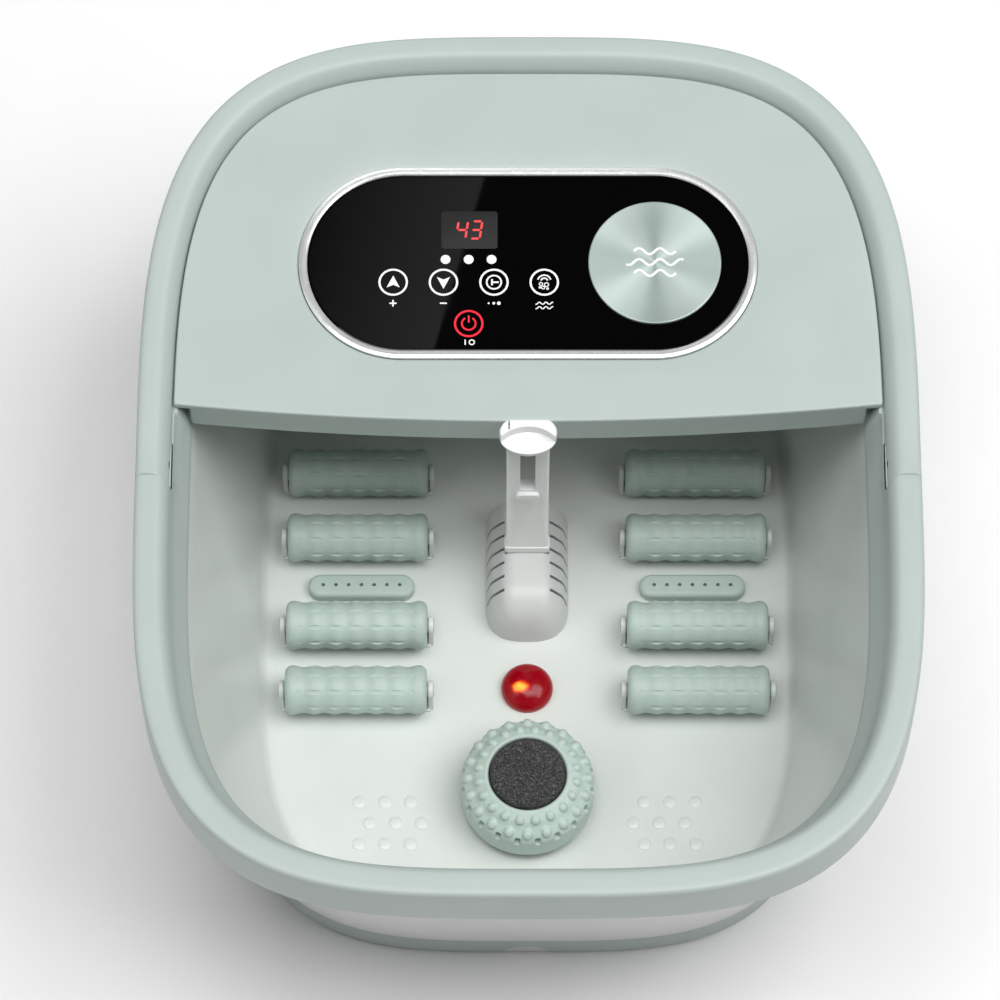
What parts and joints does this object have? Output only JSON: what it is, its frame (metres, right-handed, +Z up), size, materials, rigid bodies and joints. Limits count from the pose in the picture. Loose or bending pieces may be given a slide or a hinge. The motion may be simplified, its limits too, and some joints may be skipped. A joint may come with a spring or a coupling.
{
  "type": "pedicure foot bath",
  "caption": "Heated foot bath tub with inclined touch console, swinging carry handle, massage rollers, bubble bars, pumice head and lift-up drain stopper.",
  "frame": {"origin": "on the ground under the middle of the object's bounding box", "axes": "+Z up, +Y to the rear (the console side), +X to the right seen from the front"},
  "size_m": [0.351, 0.4194, 0.2117],
  "materials": {
    "mint_plastic": "satin moulded plastic, pale mint green",
    "white_plastic": "satin moulded plastic, white",
    "black_plastic": "matt black moulding",
    "black_gloss": "high gloss black touch panel",
    "display_tint": "smoked display window",
    "led_white": "milky light guide",
    "chrome_trim": "bright chrome",
    "spun_metal": "radially brushed, pale green metal",
    "rubber": "dark rubber",
    "steel": "zinc plated steel",
    "aluminium": "cast heater block",
    "circuit_board": "green circuit board",
    "clear_tube": "translucent silicone or PVC",
    "red_lens": "translucent red lens",
    "pumice": "coarse dark grey pumice"
  },
  "bodies": {
    "tub_body": {"base_pan": "mint_plastic", "rubber_feet": "rubber", "base_screws": "steel", "outer_shell": "white_plastic", "basin": "white_plastic", "rim_frame": "mint_plastic", "rim_seal": "rubber", "handle_pins": "steel", "console_cover": "mint_plastic", "console_tray": "white_plastic", "console_screws": "steel", "control_panel": "black_gloss", "panel_bezel": "chrome_trim", "display_window": "display_tint", "display_module": "black_plastic", "indicator_leds": "led_white", "badge_disc": "spun_metal", "touch_springs": "steel", "control_pcb": "circuit_board", "power_pcb": "circuit_board", "wire_harness": "rubber", "cord_gland": "rubber", "heater_block": "aluminium", "thermal_cutout": "black_plastic", "temperature_probe": "steel", "air_pump": "black_plastic", "pump_mounts": "rubber", "air_tubes": "clear_tube", "check_valve": "white_plastic", "bubble_bar_left": "mint_plastic", "bubble_bar_right": "mint_plastic", "heater_cover": "white_plastic", "red_lens": "red_lens", "red_led_board": "circuit_board", "pumice_socket": "white_plastic", "drain_sump": "white_plastic", "drain_duct": "clear_tube", "drain_spout": "white_plastic", "roller_brackets_left": "white_plastic", "roller_brackets_right": "white_plastic"},
    "carry_handle": {"carry_handle": "mint_plastic"},
    "drain_stopper": {"drain_rod": "white_plastic", "drain_knob": "white_plastic", "drain_plug": "rubber"},
    "pumice_head": {"pumice_holder": "mint_plastic", "pumice_stone": "pumice"},
    "roller_left_1_body": {"roller_left_1": "mint_plastic"},
    "roller_left_2_body": {"roller_left_2": "mint_plastic"},
    "roller_left_3_body": {"roller_left_3": "mint_plastic"},
    "roller_left_4_body": {"roller_left_4": "mint_plastic"},
    "roller_right_1_body": {"roller_right_1": "mint_plastic"},
    "roller_right_2_body": {"roller_right_2": "mint_plastic"},
    "roller_right_3_body": {"roller_right_3": "mint_plastic"},
    "roller_right_4_body": {"roller_right_4": "mint_plastic"}
  },
  "joints": [
    {"name": "handle_hinge", "type": "hinge", "parent": "tub_body", "child": "carry_handle", "pos_m": [0, 0.0006, 0.1872], "axis": [1, 0, 0], "range_deg": [0, 80]},
    {"name": "drain_lift", "type": "slide", "parent": "tub_body", "child": "drain_stopper", "axis": [0, 0, 1], "range_m": [0, 0.012]},
    {"name": "pumice_lift", "type": "slide", "parent": "tub_body", "child": "pumice_head", "axis": [0, 0, 1], "range_m": [0, 0.06]},
    {"name": "roller_left_1_spin", "type": "hinge", "parent": "tub_body", "child": "roller_left_1_body", "pos_m": [-0.0797, 0.0622, 0.055], "axis": [1, 0, 0], "continuous": true},
    {"name": "roller_left_2_spin", "type": "hinge", "parent": "tub_body", "child": "roller_left_2_body", "pos_m": [-0.0797, 0.0282, 0.055], "axis": [1, 0, 0], "continuous": true},
    {"name": "roller_left_3_spin", "type": "hinge", "parent": "tub_body", "child": "roller_left_3_body", "pos_m": [-0.0797, -0.0173, 0.055], "axis": [1, 0, 0], "continuous": true},
    {"name": "roller_left_4_spin", "type": "hinge", "parent": "tub_body", "child": "roller_left_4_body", "pos_m": [-0.0797, -0.0504, 0.055], "axis": [1, 0, 0], "continuous": true},
    {"name": "roller_right_1_spin", "type": "hinge", "parent": "tub_body", "child": "roller_right_1_body", "pos_m": [0.0797, 0.0622, 0.055], "axis": [1, 0, 0], "continuous": true},
    {"name": "roller_right_2_spin", "type": "hinge", "parent": "tub_body", "child": "roller_right_2_body", "pos_m": [0.0797, 0.0282, 0.055], "axis": [1, 0, 0], "continuous": true},
    {"name": "roller_right_3_spin", "type": "hinge", "parent": "tub_body", "child": "roller_right_3_body", "pos_m": [0.0797, -0.0173, 0.055], "axis": [1, 0, 0], "continuous": true},
    {"name": "roller_right_4_spin", "type": "hinge", "parent": "tub_body", "child": "roller_right_4_body", "pos_m": [0.0797, -0.0504, 0.055], "axis": [1, 0, 0], "continuous": true}
  ]
}
